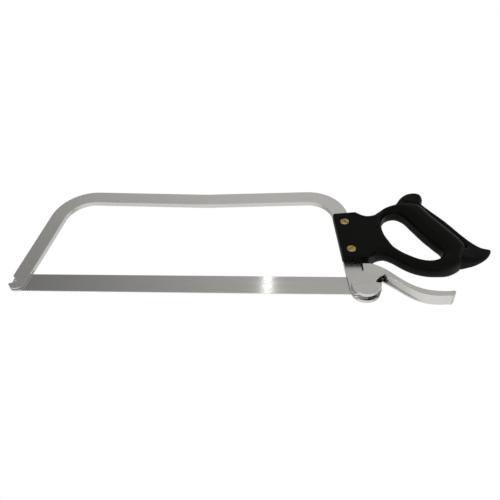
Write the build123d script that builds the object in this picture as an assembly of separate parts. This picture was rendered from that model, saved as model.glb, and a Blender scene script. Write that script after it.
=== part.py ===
from build123d import *
import math
import os

# Hand bow saw for meat and bone. All sizes are in millimetres.
# The outlines are laid out from the toe: X runs along the blade towards the handle, Z points up
# from the blade's back edge, and Y is the thickness. At export everything moves so that the origin
# is the centre of the hand grip.
grip_x = 480.0
grip_z = 72.0

# flat bar of the bow
bar_width = 18.0
bar_thick = 6.0
toe_lean = 79.46          # front leg, degrees above the blade
heel_lean = 97.68         # rear leg, degrees above the blade
crown_left_z = 138.9      # top bar's upper edge, carried on to X = 0
crown_left_slope = -0.0311
crown_kink_x = 208.0
crown_right_slope = 0.0370
front_bend = 52.0         # outer radii
rear_bend = 48.0
kink_radius = 220.0
heel_edge_x = 395.8       # rear leg's rear edge where it crosses the blade's back
heel_end_z = -26.0
toe_end_z = -22.8

# blade
blade_height = 25.0
blade_thick = 0.6
pin_z = -12.0
front_pin_x = 3.6
pin_span = 406.4
tooth_pitch = 2.54
tooth_depth = 1.3
slit_width = 1.2
pin_radius = 1.6
pin_half = 4.5

# tension lever
pivot_x = 385.0
stud_radius = 1.5
running_gap = 0.05
lever_half = 7.6
fork_half = 3.25
cam_x = 398.0
cam_z = -13.7
cam_radius = 16.4
heel_sweep = 20.8         # room for the heel's corner, about the pivot
blade_sweep = 14.4        # room for the blade's end, about its rear pin
stop_x = 395.9

# handle
handle_half = 13.0
horn_half = 7.0
far_setback = 3.4         # of the block's far half, behind the leg's front edge
block_low = 19.3
block_high = 88.8
screw_setback = 10.4      # from the leg's front edge
screw_levels = {"top": 76.0, "bottom": 32.6}
screw_radius = 2.5
barrel_radius = 3.5
head_radius = 5.5
head_thick = 2.4
head_sunk = 0.5

rear_pin_x = front_pin_x + pin_span
# the toe's rounded nose, from its upper side round to the leg's lower end
lip_nose = [(-1.9, -15.8), (-2.8, -16.6), (-2.7, -17.8), (0.4, -21.2), (2.4, toe_end_z)]
heel_lean_ratio = 1 / math.tan(math.radians(heel_lean))
toe_lean_ratio = 1 / math.tan(math.radians(toe_lean))
heel_width = bar_width / math.sin(math.radians(heel_lean))
toe_width = bar_width / math.sin(math.radians(toe_lean))


def side(face, half, middle=0.0):
    """Extrudes a face drawn in X and Z to both sides of the plane Y = middle."""
    return Pos(0, middle, 0) * extrude(Plane.XZ * face, amount=half, both=True)


def closed(*points):
    """A face with straight edges through the given corners."""
    return make_face(Polyline(*points, close=True))


def rod(x, z, radius, y_low, y_high):
    """A round bar along Y."""
    length = y_high - y_low
    return Pos(x, (y_low + y_high) / 2, z) * Rot(90, 0, 0) * Cylinder(radius, length)


def block(low, high):
    """A box between two corners."""
    size = [b - a for a, b in zip(low, high)]
    centre = [(a + b) / 2 for a, b in zip(low, high)]
    return Pos(*centre) * Box(*size)


def crossing(p, slope_p, q, ratio_q):
    """Where the line through p of a given slope dz/dx meets the line x = q + ratio * z."""
    z = (p[1] + slope_p * (q - p[0])) / (1 - slope_p * ratio_q)
    return q + ratio_q * z, z


def heel_front(z):
    """X of the rear leg's front edge at a height."""
    return heel_edge_x - heel_width + heel_lean_ratio * z


def bow_outline(inset):
    """The bow's outer line, moved inwards by inset, with its bends rounded."""
    toe_line = inset / math.sin(math.radians(toe_lean))
    heel_line = heel_edge_x - inset / math.sin(math.radians(heel_lean))
    left_z = crown_left_z - inset * math.hypot(1, crown_left_slope)
    kink_z = crown_left_z + crown_left_slope * crown_kink_x
    right = (crown_kink_x, kink_z - inset * math.hypot(1, crown_right_slope))
    front = crossing((0, left_z), crown_left_slope, toe_line, toe_lean_ratio)
    rear = crossing(right, crown_right_slope, heel_line, heel_lean_ratio)
    kink_slope = crown_right_slope - crown_left_slope
    kink_x = (left_z - right[1] + crown_right_slope * crown_kink_x) / kink_slope
    kink = (kink_x, left_z + crown_left_slope * kink_x)
    start = (toe_line + toe_lean_ratio * toe_end_z, toe_end_z)
    end = (heel_line + heel_lean_ratio * heel_end_z, heel_end_z)
    radii = [front_bend - inset, kink_radius + inset, rear_bend - inset]
    return FilletPolyline(start, front, kink, rear, end, radius=radii)


def toe_hook():
    """The part that is cut from the toe's front edge: the pin's notch over its hooked lip."""
    seat_radius = pin_radius + 0.5
    seat_x = front_pin_x - 0.45
    mouth = closed(
        (-6.0, -4.8), (toe_lean_ratio * -4.8, -4.8), (2.3, -7.6), (seat_x + 1.2, pin_z + 1.8),
        (seat_x + 0.4, pin_z - 2.0), (-2.2, -16.0), (-6.0, -16.0),
    )
    seat = Pos(seat_x, pin_z) * Circle(seat_radius)
    return side(mouth + seat, bar_thick)


def toe_lip():
    """The lip that stands out in front of the toe's lower end."""
    lip = closed(*lip_nose, (12.0, toe_end_z), (12.0, -15.8))
    return side(lip, bar_thick / 2)


def bow_frame():
    """One flat bar bent to a bow, slit at both ends for the blade."""
    outer = bow_outline(0.0)
    inner = bow_outline(bar_width)
    ends = Line(outer @ 0, inner @ 0) + Line(outer @ 1, inner @ 1)
    bar = side(make_face(outer + inner + ends), bar_thick / 2)
    bar += toe_lip()
    bar -= toe_hook()
    toe_front = closed((-8, -16), *lip_nose[1:], (2.4, -26), (-8, -26))
    toe_corner = closed((8.0, -26), (8.0, toe_end_z), (12.5, -21.2), (15.8, -18.5), (22, -18.5), (22, -26))
    heel_corner = closed((376, -16.5), (379.9, -16.5), (381.2, -21.8), (385.4, -26.5), (376, -26.5))
    bar -= side(toe_front, bar_thick)
    bar -= side(toe_corner, bar_thick)
    bar -= side(heel_corner, bar_thick)
    bar -= block((-8, -slit_width / 2, -30), (26, slit_width / 2, 6.5))
    bar -= block((370, -slit_width / 2, -30), (404, slit_width / 2, 2.5))
    bar -= rod(pivot_x, pin_z, stud_radius, -bar_thick, bar_thick)
    for level in screw_levels.values():
        x = heel_front(level) + screw_setback
        bar -= rod(x, level, screw_radius + 0.1, -bar_thick, bar_thick)
    return bar


def saw_blade():
    """Thin steel strip with teeth along its lower edge and a hole for a pin at each end."""
    root = -blade_height + tooth_depth
    first = 12.0
    count = 152
    teeth = [(first, root)]
    for number in range(count):
        start = first + number * tooth_pitch
        teeth.append((start + 0.45 * tooth_pitch, -blade_height))
        teeth.append((start + tooth_pitch, root))
    tail = rear_pin_x + 4.6
    body = closed(
        (-0.2, -8.0), (3.8, 0.0), (tail - 3.0, 0.0), (tail, -4.0), (tail, -19.0), (tail - 6.0, root),
        *reversed(teeth), (6.0, root), (-0.2, -16.5),
    )
    strip = side(body, blade_thick / 2)
    for x in (front_pin_x, rear_pin_x):
        strip -= rod(x, pin_z, pin_radius, -1, 1)
    return strip


def blade_pin(x):
    """Round cross pin, with a small chamfer at both ends."""
    pin = rod(x, pin_z, pin_radius, -pin_half, pin_half)
    return chamfer(pin.edges().filter_by(GeomType.CIRCLE), 0.25)


def lever_arm():
    """The curved arm's side face, from the stop block to the rounded tail."""
    top = Spline(
        (404.0, 13.9), (412.3, 10.7), (420.3, 5.6), (431.1, -4.0), (441.8, -13.0), (452.5, -19.4),
        (463.5, -23.0), (474.6, -24.4), (486.0, -24.3),
        tangents=[(1, -0.1), (1, 0.05)],
    )
    under = Spline(
        (484.5, -30.6), (473.7, -31.2), (463.0, -30.1), (451.7, -26.3), (441.1, -19.4),
        (430.5, -10.6), (422.3, -4.6), (417.6, -1.0),
        tangents=[(-1, -0.1), (-1, 0.75)],
    )
    tail = Spline(top @ 1, (490.8, -25.2), (489.8, -28.6), under @ 0)
    root = Polyline(under @ 1, (410.0, -7.2), (404.0, -4.0), (stop_x, 3.4), (stop_x - 0.6, 14.0), top @ 0)
    return make_face(top + tail + under + root)


def cam_lever():
    """Tension lever: two cheeks astride the heel, joined by the stop block and the arm."""
    cam = side(Pos(cam_x, cam_z) * Circle(cam_radius), lever_half)
    web = closed((395.0, 3.0), (402.0, 8.0), (412.0, 6.0), (412.0, -3.0), (406.0, -11.8), (396.0, -4.0))
    lever = cam + side(web, lever_half) + side(lever_arm(), lever_half)
    # the open V between the cam and the arm, with the round seat of the blade's rear pin
    mouth = closed((407.0, -11.6), (410.0, -7.2), (417.6, -1.0), (418.4, -4.0), (418.4, -16.0), (416.4, -15.6))
    for y in (-lever_half, lever_half):
        lever -= side(mouth, 3.2, y)
    lever -= side(closed((404, -16.2), (404, -3), (424, -3), (424, -16.2)) & mouth, 10)
    lever -= rod(rear_pin_x, pin_z, pin_radius + running_gap, -10, 10)
    # the fork
    for x, radius in ((pivot_x, heel_sweep), (rear_pin_x, blade_sweep)):
        lever -= rod(x, pin_z, radius, -fork_half, fork_half)
    below = closed((376, -12), (420, -12), (420, -34), (376, -34))
    lever -= side(below, fork_half)
    front = closed((376, 14.2), (stop_x - 1, 14.2), (stop_x - 0.2, 2.0), (stop_x, -12), (376, -12))
    lever -= side(front, fork_half)
    for y in (-1, 1):
        reach = (0, y * (lever_half + 3))
        lever -= rod(pivot_x, pin_z, stud_radius + running_gap, min(reach), max(reach))
    return lever - arm_hollow()


def arm_hollow():
    """The trough under the arm: deepest behind the cam, running out towards the tail."""
    floor = Spline(
        (409.0, 5.0), (416.5, 3.4), (424.0, -3.0), (435.0, -12.8), (446.0, -21.6), (456.0, -28.0),
        (466.0, -32.5),
    )
    sides = Polyline(floor @ 1, (466.0, -40.0), (409.0, -40.0), floor @ 0)
    return side(make_face(floor + sides), lever_half - 2.2)


def pivot_stud(sign):
    """Short pin pressed into one half of the slit heel, carrying one cheek."""
    ends = sorted((sign * 0.9, sign * (lever_half - 0.1)))
    stud = rod(pivot_x, pin_z, stud_radius, *ends)
    outer = stud.edges().filter_by(GeomType.CIRCLE).sort_by(Axis.Y)[-1 if sign > 0 else 0]
    return fillet(outer, 0.4)


def handle_outline():
    """Block, grip, horns and lower bar in one closed line."""
    corners = Polyline(
        (402.0, 19.9), (heel_front(block_low) + 0.5, block_low),
        (heel_front(block_high) + 0.5, block_high), (391.2, 92.0),
    )
    scoop = Spline(
        (391.2, 92.0), (397.6, 89.4), (404.8, 88.8), (411.8, 91.2), (417.8, 96.0),
        (426.0, 103.2), (434.0, 107.0), (443.0, 109.8),
    )
    horn = Spline(
        (443.0, 109.8), (449.4, 120.4), (457.8, 127.8), (467.0, 130.6), (473.4, 127.8),
        (474.4, 121.6), (472.0, 114.4),
    )
    back = Spline(
        (472.0, 114.4), (478.4, 104.8), (496.2, 82.8), (512.9, 58.9), (520.4, 50.0), (529.4, 43.6),
        (541.8, 40.4),
    )
    tail = Spline((541.8, 40.4), (538.6, 33.0), (531.6, 26.2), (522.4, 20.6), (512.4, 17.6), (503.6, 16.6))
    under = Spline(
        (503.6, 16.6), (498.0, 13.0), (490.2, 8.4), (481.2, 6.2), (470.0, 5.8), (459.0, 7.8),
        (448.2, 12.0), (438.8, 18.0), (428.2, 26.2), (420.0, 30.0), (412.4, 29.0), (402.0, 19.9),
    )
    return make_face(corners + scoop + horn + back + tail + under)


def hand_hole():
    """The opening for the fingers."""
    return make_face(
        Spline(
            (420.7, 72.0), (423.6, 58.4), (430.0, 47.2), (439.2, 36.2), (449.8, 27.2), (460.0, 20.8),
            (470.0, 17.8), (480.0, 19.0), (487.4, 25.2), (488.4, 35.4), (477.0, 52.0), (465.6, 64.4),
            (455.4, 80.0), (447.4, 92.0), (438.6, 96.4), (428.0, 92.8), (422.2, 84.4),
            periodic=True,
        )
    )


def handle():
    """One moulding, slotted from the front for the leg, thinner at both horns."""
    body = side(handle_outline(), handle_half)
    horn_trim = closed((440, 108.6), (475.6, 108.6), (475.6, 140), (440, 140))
    tail_trim = closed((501.5, 12), (507.5, 43), (520, 62), (560, 62), (560, 12))
    for middle in (-horn_half - 10, horn_half + 10):
        body -= side(horn_trim + tail_trim, 10, middle)
    body -= side(hand_hole(), 20)
    slot = closed(
        (heel_front(0) - 6, 0), (heel_front(0) + heel_width + 0.05, 0),
        (heel_front(100) + heel_width + 0.05, 100), (heel_front(100) - 6, 100),
    )
    body -= side(slot, bar_thick / 2 + 0.05)
    far_front = closed(
        (heel_front(0) - 6, 0), (heel_front(0) + far_setback, 0),
        (heel_front(100) + far_setback, 100), (heel_front(100) - 6, 100),
    )
    body -= side(far_front, handle_half, handle_half)
    for level in screw_levels.values():
        x = heel_front(level) + screw_setback
        sink = handle_half - head_sunk - head_thick
        body -= rod(x, level, screw_radius + 0.1, -20, 0)
        body -= rod(x, level, barrel_radius + 0.05, 0, 20)
        body -= rod(x, level, head_radius + 0.4, -20, -sink)
        body -= rod(x, level, head_radius + 0.4, sink, 20)
    return body


def slotted_head(x, z, sign, turn):
    """Low round head with a screwdriver slot, on the near (-1) or far (+1) side."""
    seat = handle_half - head_sunk - head_thick
    top = handle_half - head_sunk
    head = rod(x, z, head_radius, *sorted((sign * seat, sign * top)))
    rim = head.edges().filter_by(GeomType.CIRCLE).sort_by(Axis.Y)[-1 if sign > 0 else 0]
    head = fillet(rim, 0.8)
    cut = Pos(x, sign * top, z) * Rot(0, turn, 0) * Box(2 * head_radius + 2, 2.0, 1.3)
    return head - cut


def handle_screw(level, turn):
    """Screw from the near side, through the leg into the barrel nut."""
    x = heel_front(level) + screw_setback
    shank = rod(x, level, screw_radius, -(handle_half - head_sunk - head_thick), 7.0)
    return slotted_head(x, level, -1, turn) + shank


def handle_nut(level, turn):
    """Barrel nut from the far side."""
    x = heel_front(level) + screw_setback
    barrel = rod(x, level, barrel_radius, 3.3, handle_half - head_sunk - head_thick)
    return slotted_head(x, level, 1, turn) + barrel - rod(x, level, screw_radius, 0, 7.5)


def save(name, shape):
    """Moves a piece to the grip's origin and writes it."""
    export_step(Pos(-grip_x, 0, -grip_z) * shape, f"parts/{name}.step")


os.makedirs("parts", exist_ok=True)
save("bow_frame", bow_frame())
save("handle", handle())
save("cam_lever", cam_lever())
save("saw_blade", saw_blade())
save("blade_pin_front", blade_pin(front_pin_x))
save("blade_pin_rear", blade_pin(rear_pin_x))
save("pivot_stud_near", pivot_stud(-1))
save("pivot_stud_far", pivot_stud(1))
for place, height, angle in (("top", screw_levels["top"], 45), ("bottom", screw_levels["bottom"], -45)):
    save(f"handle_screw_{place}", handle_screw(height, angle))
    save(f"handle_nut_{place}", handle_nut(height, 20 + angle))
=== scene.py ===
import math

import bpy
import numpy as np
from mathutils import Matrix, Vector


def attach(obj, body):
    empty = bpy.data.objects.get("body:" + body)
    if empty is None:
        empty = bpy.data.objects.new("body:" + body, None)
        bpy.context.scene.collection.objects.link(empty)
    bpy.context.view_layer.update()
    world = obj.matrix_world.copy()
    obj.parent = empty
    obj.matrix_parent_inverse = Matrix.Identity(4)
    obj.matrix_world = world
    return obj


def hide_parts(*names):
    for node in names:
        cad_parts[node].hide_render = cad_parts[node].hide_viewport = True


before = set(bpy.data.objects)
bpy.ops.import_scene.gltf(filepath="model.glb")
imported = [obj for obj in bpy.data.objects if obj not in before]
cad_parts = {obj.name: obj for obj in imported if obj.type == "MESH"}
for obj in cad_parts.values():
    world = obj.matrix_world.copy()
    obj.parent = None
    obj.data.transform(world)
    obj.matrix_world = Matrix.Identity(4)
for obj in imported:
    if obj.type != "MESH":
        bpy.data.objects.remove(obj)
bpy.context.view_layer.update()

MM = 0.001
GRIP_X = 480.0      # the hand grip's centre, from the toe and from the blade's back edge
GRIP_Z = 72.0
TOE_RATIO = 0.1861      # the front leg's lean, x over z
HEEL_RATIO = -0.1349    # the rear leg's lean
HEEL_EDGE = 395.8       # the rear leg's rear edge where it crosses the blade's back
HEEL_FRONT = 377.64     # its front edge there
CROWN_Z = 138.5         # the top bar's upper edge
HANDLE_HALF = 12.95     # half of the moulding's thickness
SCREW_LEVELS = {"top": 76.0, "bottom": 32.6}
SCREW_SETBACK = 10.4    # from the rear leg's front edge
SEAT_DEPTH = 10.1       # of the screws' and nuts' heads, from the middle plane


def at(x, y, z):
    """A point given from the toe in millimetres, in the frame's metres."""
    return Vector(((x - GRIP_X) * MM, y * MM, (z - GRIP_Z) * MM))


def screw_x(level):
    """Where a handle screw stands along the saw."""
    return HEEL_FRONT + HEEL_RATIO * level + SCREW_SETBACK


# ---------------------------------------------------------------- shader maths

class Field:
    """A socket that can be used in arithmetic."""

    def __init__(self, tree, socket):
        self.tree = tree
        self.socket = socket

    def node(self, kind, settings=None, **values):
        """Adds a node: its settings first, then the values or links of its named sockets."""
        made = self.tree.nodes.new(kind)
        for key, value in (settings or {}).items():
            setattr(made, key, value)
        for name, value in values.items():
            self.connect(made.inputs, name, value)
        return made

    def connect(self, sockets, name, value):
        key = int(name[1:]) if name[0] == "n" and name[1:].isdigit() else name.replace("_", " ")
        if isinstance(value, Field):
            self.tree.links.new(value.socket, sockets[key])
        else:
            sockets[key].default_value = value

    def out(self, made, name=0):
        return Field(self.tree, made.outputs[name])

    def math(self, operation, *others):
        values = {"n0": self}
        values.update({f"n{i + 1}": other for i, other in enumerate(others)})
        return self.out(self.node("ShaderNodeMath", {"operation": operation}, **values))

    def __add__(self, other):
        return self.math("ADD", other)

    def __mul__(self, other):
        return self.math("MULTIPLY", other)

    def __sub__(self, other):
        return self.math("SUBTRACT", other)

    def __rsub__(self, other):
        return self * -1.0 + other

    __radd__ = __add__
    __rmul__ = __mul__

    def clamp(self):
        return self.math("MAXIMUM", 0.0).math("MINIMUM", 1.0)

    def step(self, low, high):
        """0 below low, 1 above high, smooth between."""
        ramp = self.node(
            "ShaderNodeMapRange", {"interpolation_type": "SMOOTHSTEP"},
            Value=self, From_Min=low, From_Max=high,
        )
        return self.out(ramp, "Result")

    def mix(self, low, high):
        """Colour low where this is 0 and high where it is 1."""
        made = self.node("ShaderNodeMix", {"data_type": "RGBA"}, n0=self, n6=low, n7=high)
        return self.out(made, 2)


class Finish:
    """One procedural material on object coordinates."""

    def __init__(self, name, **constants):
        self.material = bpy.data.materials.new(name)
        self.material.use_nodes = True
        self.tree = self.material.node_tree
        self.shader = self.tree.nodes["Principled BSDF"]
        for key, value in constants.items():
            self.shader.inputs[key.replace("_", " ")].default_value = value
        place = self.tree.nodes.new("ShaderNodeTexCoord")
        self.place = Field(self.tree, place.outputs["Object"])
        parts = self.place.node("ShaderNodeSeparateXYZ", Vector=self.place)
        self.x, self.y, self.z = (self.place.out(parts, i) for i in range(3))

    def point(self, x, y, z):
        made = self.place.node("ShaderNodeCombineXYZ", X=x, Y=y, Z=z)
        return self.place.out(made)

    def noise(self, vector=None, scale=1.0, detail=2.0, roughness=0.5):
        made = self.place.node(
            "ShaderNodeTexNoise", None, Vector=vector or self.place,
            Scale=scale, Detail=detail, Roughness=roughness,
        )
        return self.place.out(made, "Fac")

    def set(self, **links):
        for key, value in links.items():
            self.tree.links.new(value.socket, self.shader.inputs[key.replace("_", " ")])
        return self

    def bump(self, height, strength, distance):
        made = self.place.node("ShaderNodeBump", None, Height=height, Strength=strength, Distance=distance)
        return self.set(Normal=self.place.out(made))


def grey(level, warm=0.0):
    return (level * (1 + warm), level, level * (1 - 1.4 * warm), 1.0)


def bar_offset(finish):
    """How far a point of the bow lies inside its outer edge, in metres, along legs, bends and crown."""
    x = finish.x + GRIP_X * MM
    z = finish.z + GRIP_Z * MM
    front = (x - z * TOE_RATIO) * math.cos(math.atan(TOE_RATIO))
    rear = (z * HEEL_RATIO - x + HEEL_EDGE * MM) * math.cos(math.atan(HEEL_RATIO))
    crown = CROWN_Z * MM - x * 0.012 - z
    return front.math("MINIMUM", crown).math("MINIMUM", rear)


def brushed(name, level, rough, along, grain=0.05, warm=0.014, relief=0.05):
    """Satin steel with fine lines that run along the piece."""
    finish = Finish(name, Metallic=1.0)
    vector = along(finish)
    lines = finish.noise(vector, 1.0, 3.0, 0.62)
    cloud = finish.noise(None, 14.0, 2.0, 0.5)
    wear = finish.noise(None, 160.0, 4.0, 0.7)
    tone = (lines - 0.5) * grain + (cloud - 0.5) * 0.10 + (wear - 0.5) * 0.04 + 0.5
    finish.set(Base_Color=tone.clamp().mix(grey(level * 0.55, warm), grey(level * 1.45, warm)))
    finish.set(Roughness=(lines - 0.5) * 0.14 + (cloud - 0.5) * 0.05 + rough)
    finish.bump(lines, relief, 0.0002)
    return finish


def bow_steel():
    """Satin stainless bar, its lines following the bow round its bends."""
    def along(finish):
        across = bar_offset(finish) * 2600.0
        return finish.point(across, finish.y * 2600.0, finish.x * 9.0 + finish.z * 9.0)

    return brushed("bow_steel", 0.53, 0.27, along, 0.20, relief=0.03)


def blade_steel():
    """Brighter rolled strip, with fine lines from end to end."""
    def along(finish):
        return finish.point(finish.x * 12.0, finish.y * 900.0, finish.z * 1700.0)

    return brushed("blade_steel", 0.54, 0.09, along, 0.14, relief=0.02)


def lever_metal():
    """Polished casting."""
    def along(finish):
        return finish.point(finish.x * 30.0, finish.y * 600.0, finish.z * 90.0)

    return brushed("lever_metal", 0.57, 0.20, along, 0.22, relief=0.04)


def pin_steel():
    """Bright turned steel of the pins and studs."""
    finish = Finish("pin_steel", Metallic=1.0)
    radial = finish.noise(None, 1400.0, 2.0, 0.5)
    finish.set(Base_Color=radial.mix(grey(0.6), grey(0.82)), Roughness=radial * 0.14 + 0.14)
    return finish.bump(radial, 0.06, 0.0001)


def turned_brass():
    """Brass with turning marks and dull patches."""
    finish = Finish("turned_brass", Metallic=1.0)
    grain = finish.noise(finish.point(finish.x * 900.0, finish.y * 300.0, finish.z * 900.0), 1.0, 3.0, 0.6)
    dull = finish.noise(None, 420.0, 3.0, 0.6)
    tone = (grain * 0.5 + dull * 0.5).step(0.3, 0.7)
    finish.set(Base_Color=tone.mix((0.26, 0.19, 0.055, 1), (0.48, 0.37, 0.15, 1)))
    finish.set(Roughness=dull * 0.16 + 0.16)
    return finish.bump(grain, 0.05, 0.0002)


def moulded_plastic():
    """Black plastic with a faint moulded skin."""
    finish = Finish("moulded_plastic", Specular_IOR_Level=0.065)
    skin = finish.noise(None, 2600.0, 2.0, 0.5)
    cloud = finish.noise(None, 30.0, 3.0, 0.55)
    finish.set(Base_Color=cloud.mix((0.0008, 0.0014, 0.0007, 1), (0.0018, 0.0028, 0.0016, 1)))
    finish.set(Roughness=cloud * 0.10 + skin * 0.06 + 0.34)
    return finish.bump(skin, 0.10, 0.0001)


def dress(node, finish):
    """Gives a piece, or the CAD node of a name, its finish."""
    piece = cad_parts[node] if isinstance(node, str) else node
    piece.data.materials.clear()
    piece.data.materials.append(finish.material)


# ---------------------------------------------------------------- modelling

def only(piece):
    """Deselects everything and makes one piece the active, selected one."""
    bpy.ops.object.select_all(action="DESELECT")
    piece.select_set(True)
    bpy.context.view_layer.objects.active = piece


def apply_modifier(piece, kind, **settings):
    """Adds a modifier of a kind and applies it to the mesh."""
    only(piece)
    made = piece.modifiers.new(kind.lower(), kind)
    for key, value in settings.items():
        setattr(made, key, value)
    bpy.ops.object.modifier_apply(modifier=made.name)


def smooth_shaded(piece, angle):
    """Smooth shading up to an angle, with flat faces kept flat."""
    only(piece)
    bpy.ops.object.shade_smooth_by_angle(angle=math.radians(angle))
    apply_modifier(piece, "WEIGHTED_NORMAL", mode="FACE_AREA", weight=60, keep_sharp=True)


def soft_edged(node, name, width, segments=3, angle=30.0):
    """A copy of a CAD node's metal with its edges broken by a small round."""
    only(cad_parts[node])
    bpy.ops.object.duplicate()
    piece = bpy.context.view_layer.objects.active
    piece.name = name
    piece.data.name = name
    only(piece)
    bpy.ops.object.mode_set(mode="EDIT")
    bpy.ops.mesh.select_all(action="SELECT")
    bpy.ops.mesh.remove_doubles(threshold=1e-6)
    bpy.ops.mesh.dissolve_limited(angle_limit=math.radians(0.5))
    bpy.ops.object.mode_set(mode="OBJECT")
    apply_modifier(
        piece, "BEVEL", width=width * MM, segments=segments, limit_method="ANGLE",
        angle_limit=math.radians(angle), use_clamp_overlap=True, harden_normals=False,
    )
    smooth_shaded(piece, 35.0)
    return piece


# ---------------------------------------------------------------- handle

# The moulding's side view, as points from the toe in millimetres: the ring of block, grip and lower
# bar in four stretches, the hole in it, and the fin with the line along which it meets the grip.
BLOCK = [(402.0, 19.9), (373.6, 19.3), (364.2, 88.8), (391.2, 92.0)]
SCOOP = [
    (391.2, 92.0), (394.4, 89.4), (398.6, 87.4), (405.0, 87.0), (411.8, 90.0), (417.8, 95.2),
    (426.0, 102.8), (434.0, 107.0), (443.0, 109.6),
]
CREASE = [(443.0, 109.6), (452.0, 110.2), (460.5, 109.4), (467.4, 106.4), (480.2, 88.0),
          (495.1, 68.0), (508.0, 48.6), (510.6, 41.0), (508.6, 32.0), (505.6, 23.0), (503.6, 16.6)]
UNDER = [
    (503.6, 16.6), (498.0, 12.6), (490.2, 8.4), (481.2, 6.2), (470.0, 5.8), (459.0, 7.8), (448.2, 12.0),
    (438.8, 18.0), (428.2, 26.2), (420.0, 30.0), (412.4, 29.0), (402.0, 19.9),
]
HOLE = [
    (422.6, 85.6), (428.0, 92.8), (438.6, 96.4), (447.0, 91.4), (455.0, 79.4), (464.8, 64.0),
    (475.6, 48.6), (484.4, 36.4), (484.4, 29.6), (479.0, 23.4), (470.0, 21.0), (460.0, 22.6),
    (449.8, 27.6), (439.2, 35.0), (430.0, 44.8), (423.4, 56.8), (420.7, 72.0), (422.6, 85.6),
]
FIN = [
    (435.0, 102.5), (441.2, 111.0), (447.8, 122.0), (456.4, 130.2), (466.0, 133.0), (472.2, 129.8),
    (473.8, 122.0), (472.0, 114.4), (478.4, 104.8), (496.2, 82.8), (512.9, 58.9), (520.4, 50.0),
    (529.4, 43.6), (540.0, 40.4), (538.0, 34.0), (531.6, 27.0), (522.4, 21.6), (512.4, 18.8),
    (503.6, 17.6), (499.0, 19.0), (497.0, 23.0),
]
FIN_ROOT = [
    (441.0, 99.0), (446.0, 101.5), (452.0, 101.5), (458.0, 100.5), (461.0, 99.0), (463.0, 98.0),
    (464.0, 97.0), (465.0, 96.0), (470.0, 89.0), (486.0, 67.0), (499.0, 47.0), (500.0, 42.0),
    (500.0, 39.0), (500.0, 37.0), (499.6, 34.0), (499.2, 31.0), (498.6, 29.4), (498.0, 28.2),
    (497.6, 27.2), (497.2, 26.4), (496.8, 25.8),
]


def curve(points, step=0.8, tension=0.5):
    """A smooth line through points, as points about one step apart."""
    pts = np.array(points, float)
    ahead = np.vstack([2 * pts[0] - pts[1], pts, 2 * pts[-1] - pts[-2]])
    made = []
    for p0, p1, p2, p3 in zip(ahead, ahead[1:], ahead[2:], ahead[3:]):
        gaps = [max(np.linalg.norm(b - a), 1e-6) ** tension for a, b in ((p0, p1), (p1, p2), (p2, p3))]
        m1 = (p2 - p1) + gaps[1] * ((p1 - p0) / gaps[0] - (p2 - p0) / (gaps[0] + gaps[1]))
        m2 = (p2 - p1) + gaps[1] * ((p3 - p2) / gaps[2] - (p3 - p1) / (gaps[1] + gaps[2]))
        count = max(2, int(np.linalg.norm(p2 - p1) / step))
        t = np.arange(count)[:, None] / count
        made.append((2 * t**3 - 3 * t**2 + 1) * p1 + (t**3 - 2 * t**2 + t) * m1
                    + (3 * t**2 - 2 * t**3) * p2 + (t**3 - t**2) * m2)
    made.append(pts[-1:])
    return np.vstack(made)


def corners(points, radius, step=0.8):
    """Straight edges through points, with each inner corner rounded off."""
    made = [np.array(points[0], float)]
    for before, here, after in zip(points, points[1:], points[2:]):
        here = np.array(here, float)
        towards = [np.array(p, float) - here for p in (before, after)]
        start, end = (here + t / np.linalg.norm(t) * radius for t in towards)
        made += [(1 - t) ** 2 * start + 2 * t * (1 - t) * here + t**2 * end for t in np.linspace(0, 1, 7)]
    made.append(np.array(points[-1], float))
    fine = []
    for a, b in zip(made, made[1:]):
        count = max(1, int(np.linalg.norm(b - a) / step))
        fine += [a + (b - a) * i / count for i in range(count)]
    return np.array(fine + [made[-1]])


def spaced(line, count):
    """The line again, as a number of evenly spaced points."""
    run = np.concatenate([[0], np.cumsum(np.linalg.norm(np.diff(line, axis=0), axis=1))])
    places = np.linspace(0, run[-1], count)
    return np.column_stack([np.interp(places, run, line[:, i]) for i in (0, 1)])


def from_edge(points, line):
    """Each point's distance to the line, and how far along the line its nearest place is."""
    a, b = line[:-1], line[1:]
    run = np.concatenate([[0], np.cumsum(np.linalg.norm(b - a, axis=1))])
    best = np.full(len(points), 1e9)
    where = np.zeros(len(points))
    for start, end, before, after in zip(a, b, run, run[1:]):
        along = end - start
        t = np.clip(((points - start) @ along) / (along @ along + 1e-12), 0, 1)
        gap = np.linalg.norm(points - (start + t[:, None] * along), axis=1)
        nearer = gap < best
        best = np.where(nearer, gap, best)
        where = np.where(nearer, before + t * (after - before), where)
    return best, where


def rounded(distance, reach, depth):
    """How far below its face an edge with an oval round lies, at a distance from the outline."""
    inside = np.clip(1 - distance / reach, 0, 1)
    return depth * (1 - np.sqrt(np.clip(1 - inside**2, 0, 1)))


def smooth(value, low, high):
    """0 below low, 1 above high, smooth between."""
    t = np.clip((value - low) / (high - low), 0, 1)
    return t * t * (3 - 2 * t)


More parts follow.
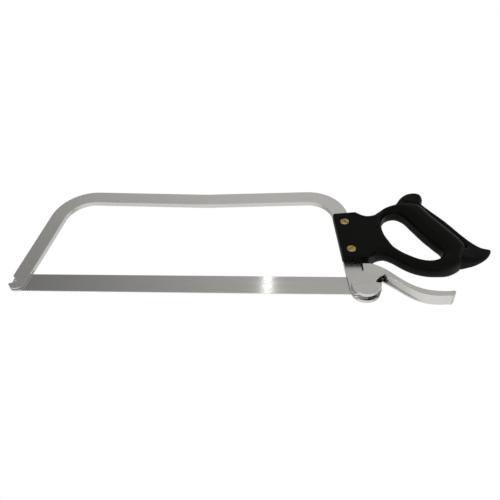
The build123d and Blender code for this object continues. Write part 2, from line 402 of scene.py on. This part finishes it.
def half_shell(name, outer, inner, height):
    """The near half of a moulding: a grid drawn between two lines and raised to a height."""
    around, across = len(outer) - 1, 34
    bpy.ops.object.select_all(action="DESELECT")
    bpy.ops.mesh.primitive_grid_add(x_subdivisions=around, y_subdivisions=across, size=1.0)
    piece = bpy.context.view_layer.objects.active
    piece.name = name
    piece.data.name = name
    share = (1 - np.cos(np.linspace(0, np.pi, across + 1))) / 2
    flat = (outer[None] * (1 - share[:, None, None]) + inner[None] * share[:, None, None]).reshape(-1, 2)
    places = np.column_stack([flat[:, 0] - GRIP_X, -height(flat), flat[:, 1] - GRIP_Z]) * MM
    piece.data.vertices.foreach_set("co", places.ravel())
    piece.data.update()
    only(piece)
    bpy.ops.object.mode_set(mode="EDIT")
    bpy.ops.mesh.select_all(action="SELECT")
    bpy.ops.mesh.remove_doubles(threshold=2e-6)
    bpy.ops.mesh.select_all(action="DESELECT")
    bpy.ops.mesh.select_mode(type="EDGE")
    bpy.ops.mesh.select_non_manifold()
    bpy.ops.mesh.extrude_region_move()
    bpy.ops.transform.resize(value=(1, 0, 1), center_override=(0, 0, 0))
    bpy.ops.object.mode_set(mode="OBJECT")
    apply_modifier(piece, "MIRROR", use_axis=(False, True, False), use_clip=True, merge_threshold=2e-6)
    only(piece)
    bpy.ops.object.mode_set(mode="EDIT")
    bpy.ops.mesh.select_all(action="SELECT")
    bpy.ops.mesh.normals_make_consistent(inside=False)
    bpy.ops.object.mode_set(mode="OBJECT")
    return piece


def grip_body():
    """Screw block, hand grip and lower bar: one ring round the hand hole."""
    stretches = [corners(BLOCK, 2.4), curve(SCOOP), curve(CREASE), curve(UNDER)]
    line = np.vstack([stretches[0], *(part[1:] for part in stretches[1:])])
    ends = np.cumsum([np.linalg.norm(np.diff(part, axis=0), axis=1).sum() for part in stretches])
    outer = spaced(line, 381)
    run = np.linspace(0, ends[-1], len(outer))
    hole = curve(HOLE)
    # which place on the outline faces which place on the hole, so that the grid stays even
    pairs = [
        ((402.0, 19.9), (425.5, 52.0)), ((373.6, 19.3), (424.2, 54.6)), ((368.0, 60.0), (423.4, 56.6)),
        ((364.2, 88.8), (422.8, 58.6)), ((391.2, 92.0), (422.2, 61.0)), ((394.4, 89.4), (421.4, 66.0)),
        ((398.6, 87.4), (420.9, 70.5)), ((405.0, 87.0), (420.8, 76.5)), ((411.8, 90.0), (421.8, 82.5)),
        ((417.8, 95.2), (424.6, 89.4)), ((426.0, 102.8), (430.5, 94.4)), ((443.0, 109.6), (437.0, 96.3)),
        ((460.5, 109.4), (443.0, 95.0)), ((467.4, 106.4), (447.4, 91.6)), ((480.2, 88.0), (457.0, 77.0)),
        ((495.1, 68.0), (469.4, 57.6)), ((509.0, 46.0), (484.0, 37.0)), ((508.4, 32.0), (484.8, 31.0)),
        ((503.6, 16.6), (482.0, 25.4)), ((481.2, 6.2), (473.6, 21.4)), ((459.0, 7.8), (461.6, 22.0)),
        ((438.8, 18.0), (448.0, 28.2)), ((428.2, 26.2), (438.0, 36.2)), ((412.4, 29.0), (427.5, 48.4)),
    ]
    hole_run = np.concatenate([[0], np.cumsum(np.linalg.norm(np.diff(hole, axis=0), axis=1))])
    on_outer = from_edge(np.array([p for p, _ in pairs]), outer)[1]
    on_hole = from_edge(np.array([q for _, q in pairs]), hole)[1]
    on_outer[0] = 0.0
    turn = hole_run[-1]
    on_hole = np.unwrap(on_hole * 2 * np.pi / turn) * turn / (2 * np.pi)
    places = np.interp(run, [*on_outer, ends[-1]], [*on_hole, on_hole[0] + turn]) % turn
    inner = np.column_stack([np.interp(places, hole_run, hole[:, i]) for i in (0, 1)])

    def height(flat):
        gap, along = from_edge(flat, line)
        # how far in the outline's round reaches and how deep it goes, at marks along the outline
        marks = [0, ends[0] + 6, ends[0] + 24, ends[1] - 3, ends[1] + 5, ends[2] - 30, ends[2],
                 ends[3] - 12, ends[3] - 2]
        reach = np.interp(along, marks, [2.0, 2.0, 8.0, 8.0, 11.0, 9.0, 6.2, 6.2, 2.0])
        depth = np.interp(along, marks, [2.0, 2.0, 8.0, 8.0, 7.0, 8.6, 9.4, 9.4, 2.0])
        gap = gap + np.interp(along, marks, [0, 0, 0, 0, 1.4, 1.0, 0, 0, 0])
        hole_gap, _ = from_edge(flat, hole)
        x, z = flat[:, 0], flat[:, 1]
        # the lower bar is slimmer than the block and the grip
        beyond = (x - 402.6) - (z - 24.0) * 0.45
        slim = smooth(beyond, 0.0, 1.6 + 1.1 * np.clip(z - 20.0, 0, 40)) * (1 - smooth(x, 474.0, 500.0))
        slim *= 1 - smooth(z, 40.0, 62.0)
        top = HANDLE_HALF - 2.6 * slim
        palm = smooth(x + (z - 60) * 0.7, 424.0, 462.0)
        hole_reach = 6.2 + 5.8 * palm * (1 - slim)
        hole_depth = 7.8 + 2.2 * np.maximum(slim, palm)
        return top - rounded(gap, reach, depth) - rounded(hole_gap, hole_reach, hole_depth)

    return half_shell("grip_body", outer, inner, height)


def grip_fin():
    """The thinner fin behind the grip that runs from the upper horn to the tail."""
    whole = curve(FIN)
    outer = spaced(whole, 241)
    anchors = from_edge(np.array(FIN), whole)[1]
    anchors[-1] = np.linalg.norm(np.diff(whole, axis=0), axis=1).sum()
    places = np.linspace(0, anchors[-1], len(outer))
    inner = np.column_stack([np.interp(places, anchors, [p[i] for p in FIN_ROOT]) for i in (0, 1)])
    crease = curve(CREASE[1:-3])

    def height(flat):
        """The fin's face: thicker where it meets the body, with a groove along the grip."""
        gap, _ = from_edge(flat, whole)
        groove, _ = from_edge(flat, crease)
        x, z = flat[:, 0], flat[:, 1]
        root = (1 - smooth(x, 499.0, 521.0)) * (1 - smooth(z, 34.0, 46.0))
        horn_root = (1 - smooth(x, 438.0, 468.0)) * smooth(z, 100.0, 106.0)
        top = 7.0 - 3.2 * smooth(x, 514.0, 541.0) + 4.6 * root + 4.6 * horn_root
        depth = np.minimum(5.0 + 3.0 * root, top - 0.6)
        groove_half = 2.0 + 1.2 * smooth(z, 98.0, 106.0)
        return top - rounded(gap, 4.6 + 5.0 * root, depth) - 4.4 * np.exp(-((groove / groove_half) ** 2))

    return half_shell("grip_fin", outer, inner, height)


def join(piece, other, operation):
    """Joins a second piece to the first, or cuts it away, and removes it."""
    apply_modifier(piece, "BOOLEAN", object=other, operation=operation, solver="EXACT")
    only(other)
    bpy.ops.object.delete()


def turned(name, profile, x, z, side):
    """A turned piece: a ring drawn out along the thickness through radii and heights."""
    def spot(height):
        return at(x, side * height, z)

    bpy.ops.object.select_all(action="DESELECT")
    bpy.ops.mesh.primitive_circle_add(
        vertices=56, radius=profile[0][0] * MM, location=spot(profile[0][1]),
        rotation=(math.radians(90), 0, 0),
    )
    piece = bpy.context.view_layer.objects.active
    piece.name = piece.data.name = name
    only(piece)
    bpy.ops.object.transform_apply(location=True, rotation=True)
    bpy.ops.object.mode_set(mode="EDIT")
    bpy.ops.mesh.select_all(action="SELECT")
    bpy.ops.mesh.edge_face_add()
    for (radius, height), (wider, further) in zip(profile, profile[1:]):
        bpy.ops.mesh.extrude_region_move(
            TRANSFORM_OT_translate={"value": (0, side * (further - height) * MM, 0)}
        )
        share = wider / radius
        bpy.ops.transform.resize(value=(share, 1, share), center_override=spot(further))
    bpy.ops.mesh.select_all(action="SELECT")
    bpy.ops.mesh.normals_make_consistent(inside=False)
    bpy.ops.object.mode_set(mode="OBJECT")
    return piece


def domed_head():
    """The outer part of a screw's or nut's profile: seat, rim and low dome."""
    steps = [math.radians(a) for a in range(0, 86, 8)]
    dome = [(5.1 * math.cos(a) + 0.4, 11.75 + 1.2 * math.sin(a)) for a in steps]
    return [(5.35, 10.12), (5.5, 10.3), (5.5, 11.6), *dome, (0.05, 12.95)]


def slotted(piece, x, z, side, turn):
    """Cuts the screwdriver's slot across a head and breaks its edges."""
    bpy.ops.object.select_all(action="DESELECT")
    bpy.ops.mesh.primitive_cube_add(size=1.0)
    cutter = bpy.context.view_layer.objects.active
    slope = math.radians(turn)
    for vertex in cutter.data.vertices:
        along, deep, across = vertex.co.x * 14.0, vertex.co.y * 2.6, vertex.co.z * 1.5
        vertex.co = at(
            x + along * math.cos(slope) - across * math.sin(slope), side * 13.0 + deep,
            z + along * math.sin(slope) + across * math.cos(slope),
        )
    join(piece, cutter, "DIFFERENCE")
    apply_modifier(piece, "BEVEL", width=0.12 * MM, segments=2, limit_method="ANGLE",
                   angle_limit=math.radians(45))
    smooth_shaded(piece, 40.0)


def fasteners(finish):
    """Brass screws from the near side and barrel nuts from the far side, one pair per level."""
    slot_turns = {"top": -45.0, "bottom": 45.0}
    shank = [(2.2, -6.9), (2.48, -6.6), (2.48, 10.12)]
    barrel = [(0.05, 7.5), (2.5, 7.5), (2.5, 3.4), (3.46, 3.4), (3.46, 10.12)]
    for place, level in SCREW_LEVELS.items():
        x = screw_x(level)
        turn = slot_turns[place]
        for kind, side, stem in (("screw", -1, shank), ("nut", 1, barrel)):
            piece = turned(f"brass_{kind}_{place}", stem + domed_head(), x, level, side)
            slotted(piece, x, level, side, turn if side < 0 else turn + 20.0)
            dress(piece, finish)
            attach(piece, "frame")
            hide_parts(f"handle_{kind}_{place}")


def bored(piece, level, radius, low, high, facets):
    """Cuts a round hole along the thickness, at a screw's level, between two depths."""
    bpy.ops.object.select_all(action="DESELECT")
    bpy.ops.mesh.primitive_cylinder_add(
        vertices=facets, radius=radius * MM, depth=(high - low) * MM,
        location=at(screw_x(level), (low + high) / 2, level), rotation=(math.radians(90), 0, 0),
    )
    drill = bpy.context.view_layer.objects.active
    bpy.ops.object.transform_apply(location=True, rotation=True)
    join(piece, drill, "DIFFERENCE")


def moulded_handle():
    """Body and fin as one moulding, with sunk seats and bores for the screws and a slot for the leg."""
    piece = grip_body()
    join(piece, grip_fin(), "UNION")
    for level in SCREW_LEVELS.values():
        bored(piece, level, 5.9, -SEAT_DEPTH - 8.0, -SEAT_DEPTH, 64)
        bored(piece, level, 5.9, SEAT_DEPTH, SEAT_DEPTH + 8.0, 64)
        bored(piece, level, 3.55, -20.0, 20.0, 48)
    join(piece, leg_box("leg_slot", (-8.0, 18.21), (-3.05, 3.05)), "DIFFERENCE")
    join(piece, leg_box("far_front", (-8.0, 3.4), (0.0, 20.0)), "DIFFERENCE")
    only(piece)
    bpy.ops.object.shade_smooth_by_angle(angle=math.radians(38.0))
    piece.name = piece.data.name = "handle_moulding"
    return piece


def leg_box(name, across, thick):
    """A block that leans with the rear leg, from its front edge and about its middle plane."""
    bpy.ops.object.select_all(action="DESELECT")
    bpy.ops.mesh.primitive_cube_add(size=1.0)
    block = bpy.context.view_layer.objects.active
    block.name = name
    for vertex in block.data.vertices:
        z = -4.0 if vertex.co.z < 0 else 120.0
        x = HEEL_FRONT + HEEL_RATIO * z + across[vertex.co.x > 0]
        vertex.co = at(x, thick[vertex.co.y > 0], z)
    return block


# ---------------------------------------------------------------- stage, light and camera

def world_light():
    """Soft room light: dimmer in front to the left, a bright band overhead, and a white backdrop."""
    world = bpy.data.worlds.new("studio")
    bpy.context.scene.world = world
    world.use_nodes = True
    tree = world.node_tree
    tree.nodes.clear()
    coords = tree.nodes.new("ShaderNodeTexCoord")
    direction = Field(tree, coords.outputs["Generated"])
    parts = direction.node("ShaderNodeSeparateXYZ", Vector=direction)
    x, y, z = (direction.out(parts, i) for i in range(3))

    def blend(share, low, high):
        return share * (high - low) + low

    wall = x.step(-0.50, 0.03) * 0.37 + 0.25
    front = blend(z.step(0.68, 0.75), wall, 0.90)
    front = blend(z.step(0.30, 0.52), 1.05, front)
    front = blend(z.step(0.80, 0.93), front, 0.36)
    back = blend(z.step(-0.15, 0.2), 0.85, x.step(0.1, 0.45) * 0.40 + 0.55)
    level = blend(y.step(-0.45, 0.10), front, back)
    combined = direction.node("ShaderNodeCombineColor", Red=level, Green=level, Blue=level * 0.975)
    colour = direction.out(combined)
    seen = Field(tree, tree.nodes.new("ShaderNodeLightPath").outputs["Is Camera Ray"])
    shown = seen.mix(colour, (1.0, 1.0, 1.0, 1.0))
    background = direction.node("ShaderNodeBackground", Color=shown, Strength=1.0)
    output = tree.nodes.new("ShaderNodeOutputWorld")
    tree.links.new(background.outputs[0], output.inputs["Surface"])


def floor():
    """A plain pale floor, well below the saw."""
    bpy.ops.object.select_all(action="DESELECT")
    bpy.ops.mesh.primitive_plane_add(size=80.0, location=(0, 0, -0.64))
    plane = bpy.context.view_layer.objects.active
    plane.name = "floor"
    bpy.ops.object.transform_apply(location=True)
    paper = Finish("pale_floor", Roughness=0.85)
    mottle = paper.noise(None, 3.0, 2.0, 0.5)
    paper.set(Base_Color=mottle.mix(grey(0.80), grey(0.84)))
    dress(plane, paper)


def lamp(name, place, target, size, power, shape="SQUARE", size_y=None):
    """An area light at a place, turned to face a target."""
    data = bpy.data.lights.new(name, "AREA")
    data.shape = shape
    data.size = size
    if size_y:
        data.size_y = size_y
    data.energy = power
    light = bpy.data.objects.new(name, data)
    bpy.context.scene.collection.objects.link(light)
    light.location = place
    light.rotation_euler = (Vector(target) - Vector(place)).to_track_quat("-Z", "Y").to_euler()
    return light


def camera():
    """Looks up at the saw's near side from below, turned slightly to the left."""
    data = bpy.data.cameras.new("camera")
    data.sensor_width = 36.0
    data.lens = 46.8
    data.clip_start = 0.01
    view = bpy.data.objects.new("camera", data)
    bpy.context.scene.collection.objects.link(view)
    view.location = (-0.15299, -0.55080, -0.54498)
    view.rotation_euler = [math.radians(angle) for angle in (132.9064, -3.3004, 3.0596)]
    bpy.context.scene.camera = view


bpy.context.scene.view_settings.view_transform = "Standard"
camera()
world_light()
floor()
lamp("overhead", (-0.1, 0.5, 1.7), (-0.15, 0.2, 0.0), 1.6, 42.0).visible_glossy = False
lamp("strip", (-0.292, -1.528, 1.204), (-0.19, 0.0, -0.082), 0.012, 0.055, "RECTANGLE", 0.20)

steel = bow_steel()
bow = soft_edged("bow_frame", "bow", 0.45)
dress(bow, steel)
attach(bow, "frame")
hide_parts("bow_frame")

lever = soft_edged("cam_lever", "lever", 0.5)
dress(lever, lever_metal())
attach(lever, "lever")
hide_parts("cam_lever")

dress("saw_blade", blade_steel())
pins = pin_steel()
for pin in ("blade_pin_front", "blade_pin_rear", "pivot_stud_near", "pivot_stud_far"):
    dress(pin, pins)
fasteners(turned_brass())
grip = moulded_handle()
dress(grip, moulded_plastic())
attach(grip, "frame")
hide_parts("handle")
